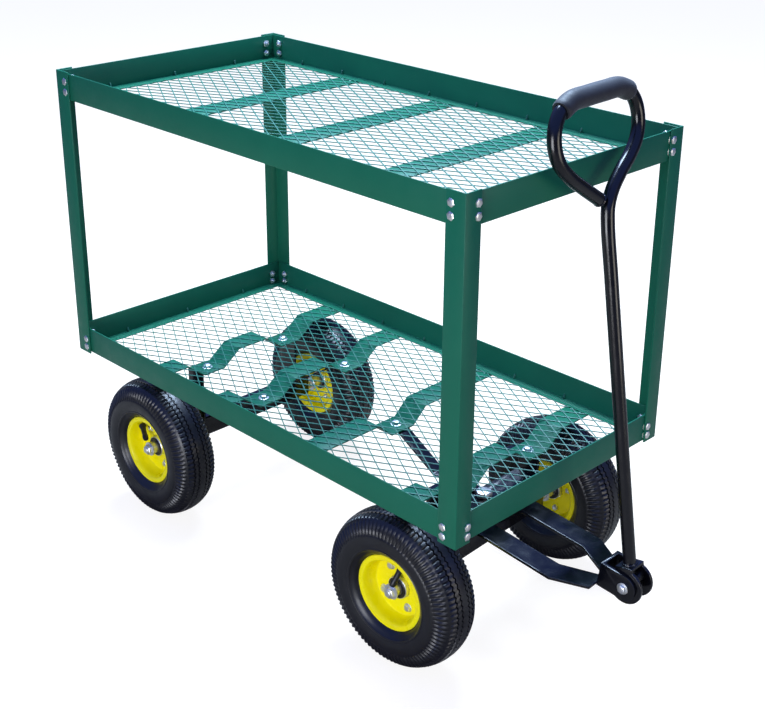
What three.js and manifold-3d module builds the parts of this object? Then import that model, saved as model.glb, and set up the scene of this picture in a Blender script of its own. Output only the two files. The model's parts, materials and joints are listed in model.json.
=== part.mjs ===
// A two-tier plant trolley: two mesh-floored trays on four angle posts, a fixed rear axle, a front axle
// steered about a kingpin, and a pull handle hinged on the drawbar.
// Millimetres. +Z up, +X towards the handle, +Y to the trolley's left. It stands on z = 0, with the
// middle of its plan at the origin.
import * as THREE from "three";
import { mergeVertices } from "three/addons/utils/BufferGeometryUtils.js";
import Module from "manifold-3d";

const wasm = await Module();
wasm.setup();

// ---------------------------------------------------------------- driving dimensions
const LENGTH = 933; // over the posts
const WIDTH = 476.5; // over the posts
const GAP = 0.3; // between pieces that touch
const CUT_PAST = 5; // how far a cutting tool runs past what it cuts

const POST = { wideX: 34.5, wideY: 30.5, thick: 2.5, bottom: 274, top: 790 };
const RAIL = { height: 45.5, thick: 2, lip: 16 };
const UPPER_Z = 742; // underside of the upper tray's rails
const LOWER_Z = 277.5; // underside of the lower tray's rails
const FLOOR_THICK = 1.2;

const STRAP = { thick: 2.5, upperWide: 50, lowerWide: 45 };
const STRAP_DROP = 27; // how far a lower strap dips to meet the running gear
const STRAP_END = WIDTH / 2 - 10; // a strap's end, under the side rails' lips

const KINGPIN_X = 312;
const REAR_AXLE_X = -291;
const WHEEL_RADIUS = 127.4;
const WHEEL_Y = 197; // from the centre line to a wheel's middle
const REST_STEER = THREE.MathUtils.degToRad(3.1);

const AXLE_RADIUS = 8;
const BEAM = { half: 150, low: 116, high: 152, wall: 4 };
const LEG = { outer: 112, thick: 4, halfWide: 21, footInner: 70 };

const PIN = { x: 278.5, z: 162.5, radius: 6, headRadius: 8.5, headHigh: 6.5 }; // x is from the kingpin
const DRAWBAR_SLOPE = THREE.MathUtils.degToRad(7.5);
const HANDLE_LEAN = THREE.MathUtils.degToRad(9);
const HANDLE_RADIUS = 10;
const GRIP_RADIUS = 14.5;

const HEX_SIDES = 6; // bolt heads and nuts
const ROUND_SIDES = 20; // pins, bores and washers
const AXLE_SIDES = 16;

// ---------------------------------------------------------------- materials
function finish(color, roughness, metalness) {
  return new THREE.MeshStandardMaterial({ color, roughness, metalness });
}
const greenPaint = finish(0x1f6350, 0.45, 0.1);
const blackPaint = finish(0x14151a, 0.2, 0.1);
const zinc = finish(0xc3c9cc, 0.35, 0.9);
const yellowPaint = finish(0xf2e200, 0.35, 0.05);
const rubber = finish(0x1b1d22, 0.8, 0);
const foam = finish(0x16171b, 0.75, 0);

// ---------------------------------------------------------------- shape helpers
// A box between two corners.
function block(x0, x1, y0, y1, z0, z1) {
  const geometry = new THREE.BoxGeometry(Math.abs(x1 - x0), Math.abs(y1 - y0), Math.abs(z1 - z0));
  return geometry.translate((x0 + x1) / 2, (y0 + y1) / 2, (z0 + z1) / 2);
}

// An outline swept straight along one axis, from low to high. The outline's pairs are (y, z) along x,
// (x, z) along y and (x, y) along z.
function sweep(outline, axis, low, high) {
  const corner = ([a, b]) => (axis === "y" ? new THREE.Vector2(b, a) : new THREE.Vector2(a, b));
  const shape = outline instanceof THREE.Shape ? outline : new THREE.Shape(outline.map(corner));
  const geometry = new THREE.ExtrudeGeometry(shape, { depth: high - low, bevelEnabled: false });
  geometry.translate(0, 0, low);
  const x = new THREE.Vector3(1, 0, 0);
  const y = new THREE.Vector3(0, 1, 0);
  const z = new THREE.Vector3(0, 0, 1);
  const frame = new THREE.Matrix4();
  if (axis === "x") frame.makeBasis(y, z, x);
  if (axis === "y") frame.makeBasis(z, x, y);
  return geometry.applyMatrix4(frame);
}

// A bar along the y axis from low to high: round, or six-sided for a bolt's head or a nut.
function bar(radius, low, high, sides = ROUND_SIDES) {
  const geometry = new THREE.CylinderGeometry(radius, radius, high - low, sides);
  return geometry.translate(0, (low + high) / 2, 0);
}

// The same, standing along the z axis.
function uprightBar(radius, low, high, sides = ROUND_SIDES) {
  return bar(radius, low, high, sides).rotateX(Math.PI / 2);
}

// A profile of (radius, y) pairs, counter-clockwise, turned about the y axis. A flat of the turned
// shape faces down, so that a wheel stands on a flat. A ring's profile closes on itself.
function turn(profile, sides, ring = true) {
  const points = profile.map(([r, y]) => new THREE.Vector2(r, y));
  if (ring) points.push(points[0].clone());
  return new THREE.LatheGeometry(points, sides, Math.PI / sides);
}

function toSolid(geometry) {
  const plain = geometry.clone();
  plain.deleteAttribute("normal");
  plain.deleteAttribute("uv");
  const merged = mergeVertices(plain, 1e-3);
  const mesh = { numProp: 3, vertProperties: merged.attributes.position.array };
  mesh.triVerts = new Uint32Array(merged.index.array);
  return new wasm.Manifold(new wasm.Mesh(mesh));
}

function toGeometry(solid) {
  const mesh = solid.getMesh();
  const geometry = new THREE.BufferGeometry();
  geometry.setAttribute("position", new THREE.BufferAttribute(new Float32Array(mesh.vertProperties), 3));
  geometry.setIndex(new THREE.BufferAttribute(new Uint32Array(mesh.triVerts), 1));
  geometry.computeVertexNormals();
  return geometry;
}

function join(...pieces) {
  return toGeometry(pieces.map(toSolid).reduce((whole, piece) => whole.add(piece)));
}

function cut(piece, ...tools) {
  return toGeometry(tools.map(toSolid).reduce((whole, tool) => whole.subtract(tool), toSolid(piece)));
}

// A piece and its copy on the far side of the xz plane.
function bothSides(geometry) {
  return [geometry, geometry.clone().rotateX(Math.PI)];
}

function place(group, name, geometry, material) {
  const mesh = new THREE.Mesh(geometry, material);
  mesh.name = name;
  group.add(mesh);
  return mesh;
}

// ---------------------------------------------------------------- the four posts
// Steel angle, standing outside the rails with its corner outwards.
function addPosts(group) {
  for (const [end, sx] of [["rear", -1], ["front", 1]]) {
    for (const [side, sy] of [["right", -1], ["left", 1]]) {
      const cornerX = (sx * LENGTH) / 2;
      const cornerY = (sy * WIDTH) / 2;
      const outline = [
        [0, 0],
        [POST.wideX, 0],
        [POST.wideX, POST.thick],
        [POST.thick, POST.thick],
        [POST.thick, POST.wideY],
        [0, POST.wideY],
      ].map(([inX, inY]) => [cornerX - sx * inX, cornerY - sy * inY]);
      place(group, `post_${end}_${side}`, sweep(outline, "z", POST.bottom, POST.top), greenPaint);
    }
  }
}

// ---------------------------------------------------------------- a tray's rails and floor
const RAIL_X = LENGTH / 2 - POST.thick - GAP; // outer face of the end rails
const RAIL_Y = WIDTH / 2 - POST.thick - GAP; // outer face of the side rails

// An L-section rail: an upright face, and a lip turned in at the bottom that carries the floor.
function railSection(face, sign, base) {
  return [
    [sign * face, base],
    [sign * (face - RAIL.lip), base],
    [sign * (face - RAIL.lip), base + RAIL.thick],
    [sign * (face - RAIL.thick), base + RAIL.thick],
    [sign * (face - RAIL.thick), base + RAIL.height],
    [sign * face, base + RAIL.height],
  ];
}

function addTray(group, tier, base) {
  for (const [side, sy] of [["right", -1], ["left", 1]]) {
    const rail = sweep(railSection(RAIL_Y, sy, base), "x", -RAIL_X, RAIL_X);
    place(group, `${tier}_side_rail_${side}`, rail, greenPaint);
  }
  // The end rails fit between the side rails, and are notched over the side rails' lips.
  const endHalf = RAIL_Y - RAIL.thick - GAP;
  const notchFrom = RAIL_Y - RAIL.lip - GAP;
  const notchIn = RAIL_X - RAIL.lip - CUT_PAST;
  const notchOut = RAIL_X + CUT_PAST;
  const notchTop = base + RAIL.thick + GAP;
  for (const [end, sx] of [["rear", -1], ["front", 1]]) {
    const rail = sweep(railSection(RAIL_X, sx, base), "y", -endHalf, endHalf);
    const notches = [-1, 1].map((sy) => {
      const from = sy * notchFrom;
      return block(sx * notchIn, sx * notchOut, from, from + sy * RAIL.lip, base - CUT_PAST, notchTop);
    });
    place(group, `${tier}_end_rail_${end}`, cut(rail, ...notches), greenPaint);
  }
  // The floor lies on the straps, inside the rails' lips.
  const floorX = RAIL_X - RAIL.lip - GAP;
  const floorY = RAIL_Y - RAIL.lip - GAP;
  const floor = block(-floorX, floorX, -floorY, floorY, base, base + FLOOR_THICK);
  place(group, `${tier}_mesh_floor`, floor, greenPaint);
}

// ---------------------------------------------------------------- the straps under the floors
function addUpperStraps(group) {
  const top = UPPER_Z - GAP;
  [["rear", -1], ["middle", 0], ["front", 1]].forEach(([where, step]) => {
    const x = (step * LENGTH) / 4;
    const half = STRAP.upperWide / 2;
    const strap = block(x - half, x + half, -STRAP_END, STRAP_END, top - STRAP.thick, top);
    place(group, `upper_strap_${where}`, strap, greenPaint);
  });
}

// A lower strap runs level under the floor and dips, with sloping sides, at each place where the
// running gear is bolted on. Each dip is { at, flat, run }: its middle, the width of its level bottom
// and the run of each slope.
function addLowerStrap(group, name, x, dips) {
  const top = LOWER_Z - GAP;
  const line = [[-STRAP_END, top]];
  for (const { at, flat, run } of dips) {
    line.push([at - flat / 2 - run, top]);
    line.push([at - flat / 2, top - STRAP_DROP]);
    line.push([at + flat / 2, top - STRAP_DROP]);
    line.push([at + flat / 2 + run, top]);
  }
  line.push([STRAP_END, top]);
  const under = line.map(([y, z]) => [y, z - STRAP.thick]).reverse();
  const half = STRAP.lowerWide / 2;
  place(group, name, sweep([...line, ...under], "x", x - half, x + half), greenPaint);
}

const GEAR_BOLT_Y = 90; // the bolts that hold the axle brackets
const BRACE_BOLT_Y = 98; // the bolts that hold the rear braces
const STRAP_X = { rear: -283, rearBrace: -116, frontBrace: 113, front: 325 };

function addLowerStraps(group) {
  const pair = (y) => [-y, y].map((at) => ({ at, flat: 44, run: 36 }));
  addLowerStrap(group, "lower_strap_rear", STRAP_X.rear, pair(GEAR_BOLT_Y));
  addLowerStrap(group, "lower_strap_rear_brace", STRAP_X.rearBrace, pair(BRACE_BOLT_Y));
  addLowerStrap(group, "lower_strap_front_brace", STRAP_X.frontBrace, [{ at: -6, flat: 50, run: 30 }]);
  addLowerStrap(group, "lower_strap_front", STRAP_X.front, pair(GEAR_BOLT_Y));
}

// ---------------------------------------------------------------- brackets and braces
const DIP_UNDER = LOWER_Z - GAP - STRAP_DROP - STRAP.thick; // underside of a strap's dip
const FOOT_TOP = DIP_UNDER - GAP;

// The open-bottomed channel that an axle shaft is welded in.
function axleBeam(x) {
  const inner = AXLE_RADIUS + GAP;
  const outer = inner + BEAM.wall;
  const outline = [
    [x - outer, BEAM.low],
    [x - inner, BEAM.low],
    [x - inner, BEAM.high - BEAM.wall],
    [x + inner, BEAM.high - BEAM.wall],
    [x + inner, BEAM.low],
    [x + outer, BEAM.low],
    [x + outer, BEAM.high],
    [x - outer, BEAM.high],
  ];
  return sweep(outline, "y", -BEAM.half, BEAM.half);
}

// One leg of a bracket, with a foot turned in at the top that is bolted under a strap.
function bracketLeg(x, sign, base) {
  const section = [
    [sign * LEG.outer, base],
    [sign * LEG.outer, FOOT_TOP],
    [sign * LEG.footInner, FOOT_TOP],
    [sign * LEG.footInner, FOOT_TOP - LEG.thick],
    [sign * (LEG.outer - LEG.thick), FOOT_TOP - LEG.thick],
    [sign * (LEG.outer - LEG.thick), base],
  ];
  return sweep(section, "x", x - LEG.halfWide, x + LEG.halfWide);
}

// A brace's tab under a strap is centred on it. The others are measured from the axle or the kingpin.
const BRACE = { wide: 25, thick: 4, rearY: 94, tabHalf: 18, axleTab: [-12, 16], kingpinTab: [-100, -16] };

// A flat-bar brace seen from the side: a level tab at each end and a slope between.
function brace(points, y) {
  const under = points.map(([x, z]) => [x, z - BRACE.thick]).reverse();
  return sweep([...points, ...under], "y", y - BRACE.wide / 2, y + BRACE.wide / 2);
}

function addRearGear(group) {
  const legs = [-1, 1].map((sign) => bracketLeg(REAR_AXLE_X, sign, BEAM.high - BEAM.wall / 2));
  place(group, "rear_axle_bracket", join(axleBeam(REAR_AXLE_X), ...legs), blackPaint);
  const tabTop = BEAM.high + GAP + BRACE.thick;
  for (const [side, sy] of [["right", -1], ["left", 1]]) {
    const line = [
      [REAR_AXLE_X + BRACE.axleTab[0], tabTop],
      [REAR_AXLE_X + BRACE.axleTab[1], tabTop],
      [STRAP_X.rearBrace - BRACE.tabHalf, FOOT_TOP],
      [STRAP_X.rearBrace + BRACE.tabHalf, FOOT_TOP],
    ];
    place(group, `rear_brace_${side}`, brace(line, sy * BRACE.rearY), blackPaint);
  }
}

// The fixed front bracket carries the kingpin in its level web. A washer keeps it off the turning part.
const WEB = { low: 193, high: 197 };
const HAT = { high: 186, thick: 4, halfLong: 22, halfWide: 31 };
const KINGPIN = { radius: 8, low: 166, headRadius: 14, headHigh: 9, nutRadius: 13, nutHigh: 10 };
const THRUST_WASHER_RADIUS = 24;

function addFrontGear(group) {
  const back = KINGPIN_X - LEG.halfWide;
  const front = KINGPIN_X + LEG.halfWide;
  const web = block(back, front, -LEG.outer, LEG.outer, WEB.low, WEB.high);
  const legs = [-1, 1].map((sign) => bracketLeg(KINGPIN_X, sign, WEB.low));
  const hole = uprightBar(KINGPIN.radius + GAP, WEB.low - CUT_PAST, WEB.high + CUT_PAST);
  hole.translate(KINGPIN_X, 0, 0);
  place(group, "front_bracket", cut(join(web, ...legs), hole), blackPaint);

  const tabTop = WEB.high + GAP + BRACE.thick;
  const line = [
    [STRAP_X.frontBrace - BRACE.tabHalf, FOOT_TOP],
    [STRAP_X.frontBrace + BRACE.tabHalf, FOOT_TOP],
    [KINGPIN_X + BRACE.kingpinTab[0], tabTop],
    [KINGPIN_X + BRACE.kingpinTab[1], tabTop],
  ];
  place(group, "front_brace", brace(line, 0), blackPaint);

  const headLow = WEB.high + GAP;
  const head = uprightBar(KINGPIN.headRadius, headLow, headLow + KINGPIN.headHigh, HEX_SIDES);
  const shank = uprightBar(KINGPIN.radius, KINGPIN.low, headLow + KINGPIN.headHigh / 2);
  place(group, "kingpin", join(head, shank), zinc).position.x = KINGPIN_X;

  const washerLow = HAT.high + GAP;
  const washer = [
    [KINGPIN.radius + GAP, washerLow],
    [THRUST_WASHER_RADIUS, washerLow],
    [THRUST_WASHER_RADIUS, WEB.low - GAP],
    [KINGPIN.radius + GAP, WEB.low - GAP],
  ];
  const washerShape = turn(washer, ROUND_SIDES).rotateX(Math.PI / 2);
  place(group, "thrust_washer", washerShape, zinc).position.x = KINGPIN_X;

  const nutTop = HAT.high - HAT.thick - GAP;
  const nutLow = nutTop - KINGPIN.nutHigh;
  const nut = uprightBar(KINGPIN.nutRadius, nutLow, nutTop, HEX_SIDES);
  const thread = uprightBar(KINGPIN.radius + GAP, nutLow - CUT_PAST, nutTop + CUT_PAST);
  place(group, "kingpin_nut", cut(nut, thread), zinc).position.x = KINGPIN_X;
}

// ---------------------------------------------------------------- axles
// A shaft along y, with an inner collar and an outer washer that keep each wheel's hub in place.
const HUB_HALF = 29; // from the wheel's middle plane to the hub's inboard end
const HUB_OUT = 21; // and to its outboard end
const COLLAR = { radius: 13, thick: 3, end: 8 };

function addAxle(group, name, x) {
  const half = [
    [AXLE_RADIUS, WHEEL_Y - HUB_HALF - GAP - COLLAR.thick],
    [COLLAR.radius, WHEEL_Y - HUB_HALF - GAP - COLLAR.thick],
    [COLLAR.radius, WHEEL_Y - HUB_HALF - GAP],
    [AXLE_RADIUS, WHEEL_Y - HUB_HALF - GAP],
    [AXLE_RADIUS, WHEEL_Y + HUB_OUT + GAP],
    [COLLAR.radius, WHEEL_Y + HUB_OUT + GAP],
    [COLLAR.radius, WHEEL_Y + HUB_OUT + GAP + COLLAR.thick],
    [AXLE_RADIUS, WHEEL_Y + HUB_OUT + GAP + COLLAR.thick],
    [AXLE_RADIUS, WHEEL_Y + HUB_OUT + GAP + COLLAR.thick + COLLAR.end],
    [0, WHEEL_Y + HUB_OUT + GAP + COLLAR.thick + COLLAR.end],
  ];
  const mirrored = half.map(([r, y]) => [r, -y]).reverse();
  const axle = place(group, name, turn([...mirrored, ...half], AXLE_SIDES, false), zinc);
  axle.position.set(x, 0, WHEEL_RADIUS);
}

// ---------------------------------------------------------------- wheels
// Each wheel is a pneumatic tyre and tube on a rim pressed in two halves, turning on a hub.
// Profiles are (radius, distance outboard from the wheel's middle plane).
const TYRE_SIDES = 28;
const RIM_SIDES = 20;
// A flat of the tyre, not a corner, touches the ground.
const TYRE_SCALE = 1 / Math.cos(Math.PI / TYRE_SIDES);

const TYRE_OUTSIDE = [
  [52, 25.6],
  [62.9, 25.6],
  [70, 36],
  [90, 42.5],
  [110, 40],
  [122, 31],
  [127.4, 13],
];
const TYRE_INSIDE = [
  [120, 12],
  [113, 27],
  [90, 36],
  [72, 29.5],
  [52, 18],
];
const TUBE_RING = { radius: 88, half: 25, wide: 28, sides: 8 };
const RIM_HALF = [
  [18.6, 0.15],
  [42, 0.15],
  [51.4, 22],
  [51.4, 26.1],
  [62.3, 26.1],
  [62.3, 29.1],
  [49, 29.1],
  [40, 3.15],
  [18.6, 3.15],
];
const HUB = [
  [AXLE_RADIUS + GAP, -HUB_HALF],
  [18, -HUB_HALF],
  [18, HUB_OUT],
  [AXLE_RADIUS + GAP, HUB_OUT],
];

function mirror(profile) {
  return profile.map(([r, y]) => [r, -y]).reverse();
}

// The tyre's section is open at the beads, where it grips the rim.
function tyreProfile() {
  const scaled = (points, side) => points.map(([r, y]) => [r * TYRE_SCALE, side * y]);
  return [
    ...scaled(TYRE_OUTSIDE, -1),
    ...scaled(TYRE_OUTSIDE, 1).reverse(),
    ...scaled(TYRE_INSIDE, 1).reverse(),
    ...scaled(TYRE_INSIDE, -1),
  ];
}

function tubeProfile() {
  const { radius, half, wide, sides } = TUBE_RING;
  return Array.from({ length: sides }, (_, i) => {
    const angle = (2 * Math.PI * (i + 0.5)) / sides;
    return [radius + half * Math.cos(angle), wide * Math.sin(angle)];
  });
}

function addWheel(group, name, x, sign) {
  const wheel = new THREE.Group();
  wheel.position.set(x, sign * WHEEL_Y, WHEEL_RADIUS);
  group.add(wheel);
  const outer = sign > 0 ? RIM_HALF : mirror(RIM_HALF);
  const inner = sign > 0 ? mirror(RIM_HALF) : RIM_HALF;
  place(wheel, `tyre_${name}`, turn(tyreProfile(), TYRE_SIDES), rubber);
  place(wheel, `inner_tube_${name}`, turn(tubeProfile(), RIM_SIDES), rubber);
  place(wheel, `rim_outer_${name}`, turn(outer, RIM_SIDES), yellowPaint);
  place(wheel, `rim_inner_${name}`, turn(inner, RIM_SIDES), yellowPaint);
  place(wheel, `hub_${name}`, turn(sign > 0 ? HUB : mirror(HUB), AXLE_SIDES), zinc);
}

// ---------------------------------------------------------------- steered front gear
// The front axle's beam carries a low hat, whose top turns on the kingpin.
function addSteeringBracket(group) {
  const legLow = BEAM.high - BEAM.wall / 2;
  const webLow = HAT.high - HAT.thick;
  const web = block(-HAT.halfLong, HAT.halfLong, -HAT.halfWide, HAT.halfWide, webLow, HAT.high);
  const legs = [-1, 1].map((sign) => {
    const face = sign * HAT.halfWide;
    return block(-HAT.halfLong, HAT.halfLong, face, face - sign * HAT.thick, legLow, HAT.high);
  });
  const hole = uprightBar(KINGPIN.radius + GAP, webLow - CUT_PAST, HAT.high + CUT_PAST);
  place(group, "steering_bracket", cut(join(axleBeam(0), web, ...legs), hole), blackPaint);
}

// The drawbar: two flat bars that run forward beside the hat, then turn in to the clevis. It slopes
// down to the clevis pin, which is the origin here; x runs along the slope.
const EAR = { outer: 22.5, thick: 5, low: -19.5, high: 21, back: -43 };
const ARM = { inner: 31.4, outer: 69.9, low: -19.5, thick: 5, rear: -300, innerBend: -106, outerBend: -98 };
const ARM_TIP = { x: -43.3, inner: 0.5, outer: 41 }; // where an arm meets the clevis

function addArms(group) {
  for (const [side, sign] of [["right", -1], ["left", 1]]) {
    const outline = [
      [ARM.rear, ARM.inner],
      [ARM.innerBend, ARM.inner],
      [ARM_TIP.x, ARM_TIP.inner],
      [ARM_TIP.x, ARM_TIP.outer],
      [ARM.outerBend, ARM.outer],
      [ARM.rear, ARM.outer],
    ].map(([x, y]) => [x, sign * y]);
    place(group, `drawbar_arm_${side}`, sweep(outline, "z", ARM.low, ARM.low + ARM.thick), blackPaint);
  }
}

// A plate seen from the side: square at the back, round about the pin at the front.
function earOutline() {
  const middle = (EAR.low + EAR.high) / 2;
  const radius = (EAR.high - EAR.low) / 2;
  const shape = new THREE.Shape();
  shape.moveTo(EAR.low, EAR.back);
  shape.lineTo(EAR.low, 0);
  shape.absarc(middle, 0, radius, Math.PI, 0, true);
  shape.lineTo(EAR.high, EAR.back);
  return shape;
}

function addClevis(group) {
  const ears = [-EAR.outer, EAR.outer - EAR.thick].map((y) => sweep(earOutline(), "y", y, y + EAR.thick));
  const web = block(EAR.back, EAR.back + EAR.thick, -EAR.outer, EAR.outer, EAR.low, EAR.high);
  const bore = bar(PIN.radius + GAP, -EAR.outer - CUT_PAST, EAR.outer + CUT_PAST);
  place(group, "clevis", cut(join(web, ...ears), bore), blackPaint);

  const headInner = EAR.outer + GAP;
  const headOuter = headInner + PIN.headHigh;
  const shankEnd = (headInner + headOuter) / 2;
  const heads = bothSides(bar(PIN.headRadius, headInner, headOuter, HEX_SIDES));
  place(group, "clevis_pin", join(bar(PIN.radius, -shankEnd, shankEnd), ...heads), zinc);
}

// ---------------------------------------------------------------- pull handle
// The clevis pin is the origin; z runs up the shaft, which leans back towards the trays.
const YOKE = { outer: 17, thick: 5, radius: 28, webHigh: 31, webHalf: 14 };
const CHEEK_SIDES = 28;

function addYoke(group) {
  const { outer, thick, webHigh, webHalf } = YOKE;
  const cheeks = bothSides(bar(YOKE.radius, outer - thick, outer, CHEEK_SIDES));
  const risers = [-outer, outer - thick].map((y) => block(-webHalf, webHalf, y, y + thick, 0, webHigh));
  const web = block(-webHalf, webHalf, -outer, outer, webHigh - thick, webHigh);
  const bore = bar(PIN.radius + GAP, -outer - CUT_PAST, outer + CUT_PAST);
  place(group, "handle_yoke", cut(join(web, ...cheeks, ...risers), bore), blackPaint);
}

// The handle's centre line: straight up the shaft, then round the loop and back to the top of the
// shaft, where the tube's end is left just clear of it. Pairs are (y, z).
const HANDLE_LINE = [
  [0, YOKE.webHigh + GAP],
  [0, 180],
  [0, 330],
  [0, 470],
  [0, 545],
  [4, 570],
  [16, 590],
  [38, 610],
  [64, 629],
  [83, 650],
  [90, 673],
  [86, 697],
  [71, 716],
  [46, 725],
  [12, 726],
  [-30, 726],
  [-64, 725],
  [-89, 716],
  [-104, 697],
  [-108, 673],
  [-101, 650],
  [-82, 629],
  [-56, 610],
  [-34, 595],
  [-19, 585],
];

function section(radius, sides) {
  return Array.from({ length: sides }, (_, i) => {
    const angle = (2 * Math.PI * i) / sides;
    return new THREE.Vector2(radius * Math.cos(angle), radius * Math.sin(angle));
  });
}

function lineOf(pairs) {
  const points = pairs.map(([y, z]) => new THREE.Vector3(0, y, z));
  return new THREE.CatmullRomCurve3(points, false, "centripetal");
}

const TUBE = { sides: 10, steps: 56 };
// The foam sleeve covers these points of the centre line, a little clear of the tube.
const GRIP = { from: 12, to: 17, clearance: 1.2, sides: 12, steps: 12 };

function addHandle(group) {
  addYoke(group);
  const tube = new THREE.ExtrudeGeometry(new THREE.Shape(section(HANDLE_RADIUS, TUBE.sides)), {
    steps: TUBE.steps,
    bevelEnabled: false,
    extrudePath: lineOf(HANDLE_LINE),
  });
  place(group, "handle_tube", tube, blackPaint);
  const ring = new THREE.Shape(section(GRIP_RADIUS, GRIP.sides));
  ring.holes.push(new THREE.Path(section(HANDLE_RADIUS + GRIP.clearance, GRIP.sides)));
  const grip = new THREE.ExtrudeGeometry(ring, {
    steps: GRIP.steps,
    bevelEnabled: false,
    extrudePath: lineOf(HANDLE_LINE.slice(GRIP.from, GRIP.to + 1)),
  });
  place(group, "foam_grip", grip, foam);
}

// ---------------------------------------------------------------- assembly
const trolley = new THREE.Group();
const chassis = new THREE.Group();
const steering = new THREE.Group();
const drawbar = new THREE.Group();
const handle = new THREE.Group();
steering.position.x = KINGPIN_X;
steering.rotation.z = REST_STEER;
drawbar.position.set(PIN.x, 0, PIN.z);
drawbar.rotation.y = DRAWBAR_SLOPE;
handle.position.copy(drawbar.position);
handle.rotation.y = -HANDLE_LEAN;
steering.add(drawbar, handle);
trolley.add(chassis, steering);

addPosts(chassis);
addTray(chassis, "upper", UPPER_Z);
addTray(chassis, "lower", LOWER_Z);
addUpperStraps(chassis);
addLowerStraps(chassis);
addRearGear(chassis);
addAxle(chassis, "rear_axle", REAR_AXLE_X);
addFrontGear(chassis);
addSteeringBracket(steering);
addAxle(steering, "front_axle", 0);
addArms(drawbar);
addClevis(drawbar);
addHandle(handle);
for (const [side, sign] of [["right", -1], ["left", 1]]) {
  addWheel(chassis, `rear_${side}`, REAR_AXLE_X, sign);
  addWheel(steering, `front_${side}`, 0, sign);
}

// Bring the middle of the plan to the origin, and the lowest point to z = 0.
const bounds = new THREE.Box3().setFromObject(trolley, true);
const middle = bounds.getCenter(new THREE.Vector3());
trolley.position.set(-middle.x, -middle.y, -bounds.min.z);

export default trolley;
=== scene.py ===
# %% [markdown]
# # A two-tier plant trolley
# Two mesh-floored trays stand on four angle posts, over a fixed rear axle and a steered front one. The
# engineering model says where every part is and how it moves. This lesson gives each part its finish and
# its fine shape: rounded steel edges, expanded mesh, moulded tyres, bolts and welds. Every size is in
# millimetres until the moment it becomes a point, because that is how a workshop thinks.

import json
import math

import bmesh
import bpy
from mathutils import Matrix, Vector


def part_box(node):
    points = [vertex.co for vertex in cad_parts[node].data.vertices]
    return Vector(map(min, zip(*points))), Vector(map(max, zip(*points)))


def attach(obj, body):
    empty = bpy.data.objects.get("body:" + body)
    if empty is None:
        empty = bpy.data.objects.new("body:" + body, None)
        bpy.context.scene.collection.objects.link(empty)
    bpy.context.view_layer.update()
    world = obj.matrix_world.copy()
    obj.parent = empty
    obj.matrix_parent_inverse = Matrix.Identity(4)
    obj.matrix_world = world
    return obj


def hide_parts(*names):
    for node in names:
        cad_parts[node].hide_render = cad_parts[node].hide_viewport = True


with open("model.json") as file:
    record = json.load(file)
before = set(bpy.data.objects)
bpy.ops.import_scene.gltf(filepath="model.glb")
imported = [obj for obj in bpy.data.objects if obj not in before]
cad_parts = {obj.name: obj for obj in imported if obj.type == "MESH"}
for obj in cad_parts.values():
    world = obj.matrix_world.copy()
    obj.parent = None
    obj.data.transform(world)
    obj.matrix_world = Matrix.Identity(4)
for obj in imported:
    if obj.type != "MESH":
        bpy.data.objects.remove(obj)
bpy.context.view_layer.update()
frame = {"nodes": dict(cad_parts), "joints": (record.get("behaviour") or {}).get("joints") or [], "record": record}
record = frame["record"]
joints = {joint["name"]: joint for joint in frame["joints"]}
body_of = {node: body for body, nodes in record["behaviour"]["bodies"].items() for node in nodes}
slot_of = {entry["node"]: entry["material_slot"] for entry in record["subparts"]}
MM = 0.001
UP = Vector((0, 0, 1))
ALONG = Vector((1, 0, 0))

# %% [markdown]
# ## The camera
# The camera stands off the front right corner and a little above the upper tray. It is placed by its
# azimuth and elevation, as a tripod head is set, and not by aiming it at a target, so that its small
# sideways tilt stays exact. The lens shift recentres the trolley without turning the camera.

# %% Place the camera
CAMERA_PLACE = Vector((1.4321, -1.4096, 1.2937))
CAMERA_AZIMUTH, CAMERA_ELEVATION, CAMERA_TILT = 44.04, 22.20, 0.89

camera_data = bpy.data.cameras.new("camera")
camera_data.lens = 62.64
camera_data.shift_x = -0.0382
camera_data.shift_y = -0.0780
camera = bpy.data.objects.new("camera", camera_data)
bpy.context.scene.collection.objects.link(camera)
camera.matrix_world = (
    Matrix.Translation(CAMERA_PLACE)
    @ Matrix.Rotation(math.radians(CAMERA_AZIMUTH), 4, "Z")
    @ Matrix.Rotation(math.radians(90 - CAMERA_ELEVATION), 4, "X")
    @ Matrix.Rotation(math.radians(CAMERA_TILT), 4, "Z")
)
bpy.context.scene.camera = camera
bpy.context.scene.view_settings.view_transform = "Standard"

# %% [markdown]
# ## Small helpers for materials
# Colours are written as the hex values a painter would read off a chart. Those are sRGB, and the shader
# works in linear light, so one function turns one into the other. A second adds any node with its
# settings and links, so that each material below reads as a recipe. A third starts an empty material.


# %% Colours in linear light
def colour(hex_value):
    channels = [int(hex_value[i : i + 2], 16) / 255 for i in (1, 3, 5)]
    linear = [c / 12.92 if c <= 0.04045 else ((c + 0.055) / 1.055) ** 2.4 for c in channels]
    return (*linear, 1.0)


print("mid grey in linear light is", round(colour("#808080")[0], 3))


# %% Nodes and empty materials
def add_node(tree, kind, inputs=None, **settings):
    """One node, with its settings, and its inputs given as values or as other nodes' sockets."""
    made = tree.nodes.new(kind)
    for name, value in settings.items():
        setattr(made, name, value)
    for socket, value in (inputs or {}).items():
        if isinstance(value, bpy.types.NodeSocket):
            tree.links.new(value, made.inputs[socket])
        else:
            made.inputs[socket].default_value = value
    return made


def blank_material(name):
    """A material holding only its output, and the coordinates of the surface in metres."""
    material = bpy.data.materials.new(name)
    material.use_nodes = True
    tree = material.node_tree
    tree.nodes.clear()
    output = add_node(tree, "ShaderNodeOutputMaterial")
    place = add_node(tree, "ShaderNodeTexCoord").outputs["Object"]
    return material, tree, output, place


print("material helpers ready")

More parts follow.
